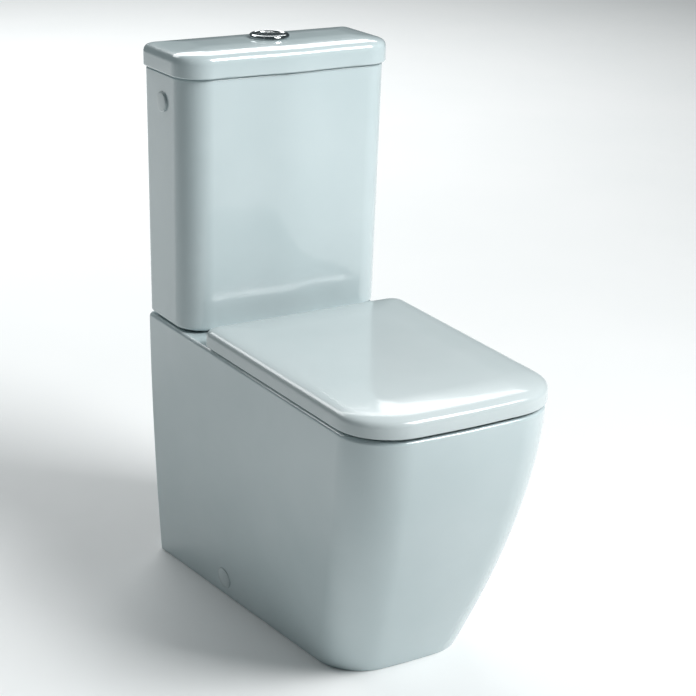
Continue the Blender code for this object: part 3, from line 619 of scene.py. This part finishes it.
def make_tank(china):
    """The cistern's box: glazed outside and in, rounded at foot and rim, with its fittings' holes."""
    foot = ((0.0, 0.0060), (0.0006, 0.0040), (0.0018, 0.0018), (0.0036, 0.0005), (0.0060, 0.0))
    rim = ((0.0030, 0.0), (0.0014, 0.0006), (0.0004, 0.0018), (0.0, 0.0030))
    rings = [tank_outline(TANK_Z + rise, inset) for rise, inset in foot]
    rings += [tank_outline(z) for z in (0.48, 0.56, 0.64, 0.71)]
    rings += [tank_outline(TANK_TOP_Z - drop, inset) for drop, inset in rim]
    tank = loft("tank_china", rings)
    floor_z = TANK_Z + TANK_FLOOR
    inside = ((0.0, 0.014), (0.0012, 0.008), (0.004, 0.0036), (0.009, 0.0010), (0.016, 0.0))
    hollow = [tank_outline(floor_z + rise, TANK_WALL + inset) for rise, inset in inside]
    hollow += [tank_outline(z, TANK_WALL) for z in (0.60, TANK_TOP_Z + 0.01)]
    holes = [
        upright_rod("valve_hole", 0.0, VALVE_REACH, 0.0315, 0.39, 0.43),
        upright_rod("supply_hole", FILL_X, VALVE_REACH, 0.0115, 0.39, 0.43, 32),
    ]
    for side, sign in SIDES:
        holes.append(upright_rod(f"bolt_hole_{side}", sign * COUPLING_X, VALVE_REACH, 0.0055, 0.39, 0.43, 24))
        low_x, high_x = sorted((sign * 0.14, sign * 0.19))
        holes.append(across_rod(f"side_hole_{side}", SIDE_HOLE_REACH, SIDE_HOLE_Z, 0.0095, low_x, high_x, 32))
    cut(tank, loft("tank_hollow", hollow), *holes)
    finished(tank, china, "root", "china", "cistern_tank")


def make_side_plugs(white):
    """The round blanking plugs high on the cistern's sides."""
    share = (SIDE_HOLE_Z - TANK_Z) / (TANK_TOP_Z - TANK_Z)
    face = blend(TANK_HALF_LOW, TANK_HALF_TOP, share)
    for side, sign in SIDES:
        centre = place(0.0, SIDE_HOLE_REACH, SIDE_HOLE_Z)
        head = [(0.0145, face + 0.0004)] + arc((0.0128, face + 0.0015), 0.0017, 0, 90, 5)
        head += [(0.0100, face + 0.00335), (0.0, face + 0.0035)]
        profile = [(0.0, face - 0.0250), (0.0085, face - 0.0250), (0.0085, face + 0.0004)] + head
        plug = spun(f"plug_{side}", profile, centre, sign * ACROSS)
        finished(plug, white, "root", "white_plastic", f"side_plug_{side}")


def make_cover(china):
    """The cistern's lid: a softly domed top, a rounded skirt, and a hollow underside with a locating rib."""
    low = ((0.0, 0.0040), (0.0004, 0.0024), (0.0012, 0.0010), (0.0028, 0.0))
    top = ((0.0190, 0.0), (0.0155, 0.0002), (0.0128, 0.0008), (0.0105, 0.0018), (0.0086, 0.0032))
    top += ((0.0070, 0.0052), (0.0056, 0.0082), (0.0044, 0.0125), (0.0033, 0.0180), (0.0023, 0.0250))
    top += ((0.0014, 0.0340), (0.0006, 0.0450), (0.0, 0.0550))
    rings = [cover_outline(COVER_Z + rise, inset) for rise, inset in low]
    rings += [cover_outline(COVER_TOP_Z - drop, inset) for drop, inset in top]
    cover = loft("cover_china", rings, COVER_BOW)
    rounded = ((0.008, 0.0), (0.003, 0.0006), (0.001, 0.0022), (0.0, 0.006))
    pocket = [cover_outline(COVER_Z - 0.010, 0.013)]
    pocket += [cover_outline(COVER_UNDER_Z - drop, 0.013 + inset) for drop, inset in rounded]
    cut(cover, loft("cover_pocket", pocket))
    rib_low, rib_high = TANK_TOP_Z - 0.012, COVER_UNDER_Z + 0.003
    rib_sides = ((rib_low, 0.0026), (rib_low + 0.001, 0.002), (rib_high, 0.002))
    rib = loft("cover_rib", [tank_outline(z, TANK_WALL + inset) for z, inset in rib_sides])
    hollow_heights = (rib_low - 0.01, COVER_UNDER_Z)
    cut(rib, loft("rib_hollow", [tank_outline(z, TANK_WALL + 0.0055) for z in hollow_heights]))
    join(cover, rib)
    cut(cover, upright_rod("button_hole", 0.0, VALVE_REACH, 0.0262, TANK_TOP_Z, COVER_TOP_Z + 0.01, 72))
    finished(cover, china, "cover", "china", "cistern_cover")


def make_button(chrome):
    """The split flush button: a rolled bezel with a large and a small button, each slightly dished."""
    top = COVER_TOP_Z
    bezel = [(0.0226, top - 0.0300), (0.0258, top - 0.0300), (0.0258, top + 0.0003), (0.0290, top + 0.0003)]
    bezel += [(0.0295, top + 0.0008), (0.0295, top + 0.0014)]
    bezel += arc((0.0260, top + 0.0025), 0.0035, 0, 150, 12)[1:]
    bezel += [(0.0226, top + 0.0034)]
    rim = spun("flush_bezel", bezel, place(0.0, VALVE_REACH, 0.0), UP, 96)
    finished(rim, chrome, "cover", "chrome", "button_bezel")
    under = top - 0.0055
    shares = (0.0, 0.25, 0.5, 0.7, 0.85)
    dish = [(BUTTON_RADIUS * share, top + 0.0032 + 0.0012 * share**2) for share in shares]
    edge = arc((BUTTON_RADIUS - 0.0014, top + 0.0031), 0.0014, 0, 80, 6)
    profile = [(0.0, under), (BUTTON_RADIUS, under)] + edge + list(reversed(dish))
    split_x, split_radius = 0.0185, 0.0180
    shapes = (("full", "DIFFERENCE", split_radius + 0.0006), ("half", "INTERSECT", split_radius))
    for size, operation, radius in shapes:
        button = spun(f"{size}_button", profile, place(0.0, VALVE_REACH, 0.0), UP, 96)
        disc = upright_rod("split", split_x, VALVE_REACH, radius, top - 0.03, top + 0.03, 96)
        combine(button, [disc], operation, "EXACT")
        finished(button, chrome, f"{size}_button", "chrome", f"{size}_flush_button")


# Seat


def seat_outline(z, proud, near, corner_back=0.020):
    half_back = blend(RIM_HALF_BACK, RIM_HALF_FRONT, near / RIM_REACH) + proud
    return z, half_back, RIM_HALF_FRONT + proud, near, RIM_REACH + proud, corner_back, RIM_CORNER + proud


def lug(name, xs, zs, forward):
    """A barrel on the hinge line with a web up to the lid or forward to the seat."""
    low_x, high_x = sorted(xs)
    barrel = across_rod(name, HINGE_REACH, HINGE_Z, 0.0060, low_x, high_x, 40)
    inside = (low_x + 0.0006, high_x - 0.0006)
    web = block("web", inside, (HINGE_REACH - 0.0050, HINGE_REACH + 0.0050 + forward), zs)
    return join(barrel, web)


def make_lid(white):
    """The wrap-over lid: a thin band, a soft top edge, a low crown and a hollow underside."""
    foot = ((0.0, 0.0012), (0.0005, 0.0004), (0.0015, 0.0))
    top = ((0.4170, 0.0), (0.4205, 0.0002), (0.4232, 0.0009), (0.4254, 0.0022), (0.4272, 0.0041))
    top += ((0.4286, 0.0066), (0.4298, 0.0098), (0.4309, 0.0140), (0.4319, 0.0195), (0.4328, 0.0265))
    top += ((0.4336, 0.0350), (0.4344, 0.0460), (0.4350, 0.0580), (0.4352, 0.0700))
    levels = [(LID_LOW_Z + rise, inset) for rise, inset in foot] + list(top)
    rings = [
        seat_outline(z, LID_PROUD - inset, LID_NEAR + inset, max(0.008, 0.020 - inset / 2))
        for z, inset in levels
    ]
    lid = loft("lid_shell", rings, LID_BOW)
    inner, near = LID_PROUD - LID_WALL, LID_NEAR + LID_WALL
    under = ((0.395, 0.0), (0.4195, 0.0), (0.4238, 0.0010), (0.4256, 0.0030), (LID_POCKET_Z, 0.0070))
    pocket = [seat_outline(z, inner - inset, near + inset, 0.016) for z, inset in under]
    cut(lid, loft("lid_pocket", pocket, LID_BOW))
    opening_reaches = (LID_NEAR - 0.02, LID_NEAR + 0.03)
    cut(lid, block("back_opening", (-0.118, 0.118), opening_reaches, (0.395, LID_POCKET_Z), 0.002))
    for side, sign in SIDES:
        join(lid, lug(f"lid_lug_{side}", (sign * 0.0545, sign * 0.0680), (0.4190, 0.4285), 0.0))
        low_x, high_x = sorted((sign * 0.050, sign * 0.072))
        cut(lid, across_rod("bore", HINGE_REACH, HINGE_Z, PIN_BORE, low_x, high_x, 32))
    finished(lid, white, "lid", "white_plastic", "seat_lid")


def make_seat(white):
    """The seat ring: rounded outside and in, so that the opening's edge turns down softly."""
    inset = LID_PROUD - LID_WALL - 0.0035
    low, high = SEAT_LOW_Z, SEAT_TOP_Z
    sides = ((low, 0.0030), (low + 0.0008, 0.0014), (low + 0.0022, 0.0003), (low + 0.0040, 0.0))
    sides += ((high - 0.0070, 0.0), (high - 0.0045, 0.0006), (high - 0.0026, 0.0020), (high - 0.0011, 0.0042))
    sides += ((high - 0.0003, 0.0068), (high, 0.0100))
    rings = [seat_outline(z, inset - step, SEAT_NEAR + step / 2, 0.016) for z, step in sides]
    seat = loft("seat_shell", rings, LID_BOW)
    flare = ((low - 0.008, 0.004), (low - 0.0001, 0.0030), (low + 0.0010, 0.0010), (low + 0.0028, 0.0))
    flare += ((high - 0.0080, 0.0), (high - 0.0050, 0.0012), (high - 0.0026, 0.0034), (high - 0.0010, 0.0064))
    flare += ((high - 0.0001, 0.0100), (high + 0.004, 0.0110))
    rings = []
    for z, grow in flare:
        half, length = OPENING_HALF + grow, OPENING_HALF_LENGTH + grow
        near, far = OPENING_MIDDLE - length, OPENING_MIDDLE + length
        rings.append((z, half, half, near, far, 0.90 * half, 0.90 * half))
    cut(seat, loft("seat_opening", rings, 0.0))
    for side, sign in SIDES:
        join(seat, lug(f"seat_lug_{side}", (sign * 0.0870, sign * 0.1010), (0.4145, 0.4205), 0.022))
        low_x, high_x = sorted((sign * 0.084, sign * 0.104))
        cut(seat, across_rod("bore", HINGE_REACH, HINGE_Z, PIN_BORE, low_x, high_x, 32))
    finished(seat, white, "seat", "white_plastic", "seat_ring")


# Studio


def area_light(name, place_at, aim, size, power, colour=(1.0, 1.0, 1.0)):
    light = bpy.data.lights.new(name, "AREA")
    light.shape = "RECTANGLE"
    light.size, light.size_y = size
    light.energy = power
    light.color = colour
    lamp = bpy.data.objects.new(name, light)
    lamp.location = place_at
    lamp.rotation_euler = (Vector(aim) - Vector(place_at)).to_track_quat("-Z", "Y").to_euler()
    bpy.context.scene.collection.objects.link(lamp)


def make_studio():
    """A pale floor, a soft key high at the front right, a faint light on the left and one behind."""
    scene = bpy.context.scene
    scene.view_settings.view_transform = "Standard"
    bpy.ops.object.select_all(action="DESELECT")
    bpy.ops.mesh.primitive_plane_add(size=14.0, location=(0.0, 0.0, -0.0005))
    floor = named("studio_floor")
    pale = Finish("pale_floor")
    pale.colour(pale.ramp(pale.noise(2.0, 2.0), (0.84, 0.86, 0.86), (0.86, 0.875, 0.875)))
    pale.roughness(pale.ramp(pale.noise(30.0, 2.0), 0.65, 0.75))
    floor.data.materials.append(pale.made)
    world = bpy.data.worlds.new("studio")
    world.use_nodes = True
    background = world.node_tree.nodes["Background"]
    background.inputs["Color"].default_value = (0.66, 0.88, 0.94, 1.0)
    background.inputs["Strength"].default_value = 0.07
    scene.world = world
    aim = (0.0, 0.0, 0.45)
    area_light("key_above", (1.25, -1.75, 2.65), aim, (1.4, 1.4), 118.0)
    area_light("left_edge", (-2.4, -1.2, 2.0), aim, (0.3, 1.6), 1.2)
    area_light("backdrop", (0.3, 3.8, 3.4), (0.3, 4.0, 0.0), (6.0, 3.0), 230.0)


def make_camera():
    """The camera stands back to the left of the front and looks down on the cistern and the lid."""
    azimuth, elevation, roll = math.radians(-31.30), math.radians(19.75), math.radians(1.265)
    distance, aside, above = 2.3273, -0.1595, 0.1004
    back = Vector(
        (
            math.sin(azimuth) * math.cos(elevation),
            -math.cos(azimuth) * math.cos(elevation),
            math.sin(elevation),
        )
    )
    flat_right = back.cross(UP).normalized() * -1
    flat_up = back.cross(flat_right)
    centre = Vector((0.0, WALL - 0.617, 0.4)) + back * distance + flat_right * aside + flat_up * above
    right = flat_right * math.cos(roll) + flat_up * math.sin(roll)
    up = back.cross(right)
    turn = Matrix((right, up, back)).transposed()
    camera_data = bpy.data.cameras.new("camera")
    camera_data.sensor_width = 36.0
    camera_data.lens = 36.0 * 1800 / 696
    camera = bpy.data.objects.new("camera", camera_data)
    camera.matrix_world = Matrix.Translation(centre) @ turn.to_4x4()
    bpy.context.scene.collection.objects.link(camera)
    bpy.context.scene.camera = camera


make_camera()
make_studio()
finish_frame()
make_pan(FINISHES["china"])
make_fixing_caps(FINISHES["white_plastic"])
make_outlet_connector(FINISHES["rubber"])
make_tank(FINISHES["china"])
make_side_plugs(FINISHES["white_plastic"])
make_cover(FINISHES["china"])
make_button(FINISHES["chrome"])
make_lid(FINISHES["white_plastic"])
make_seat(FINISHES["white_plastic"])
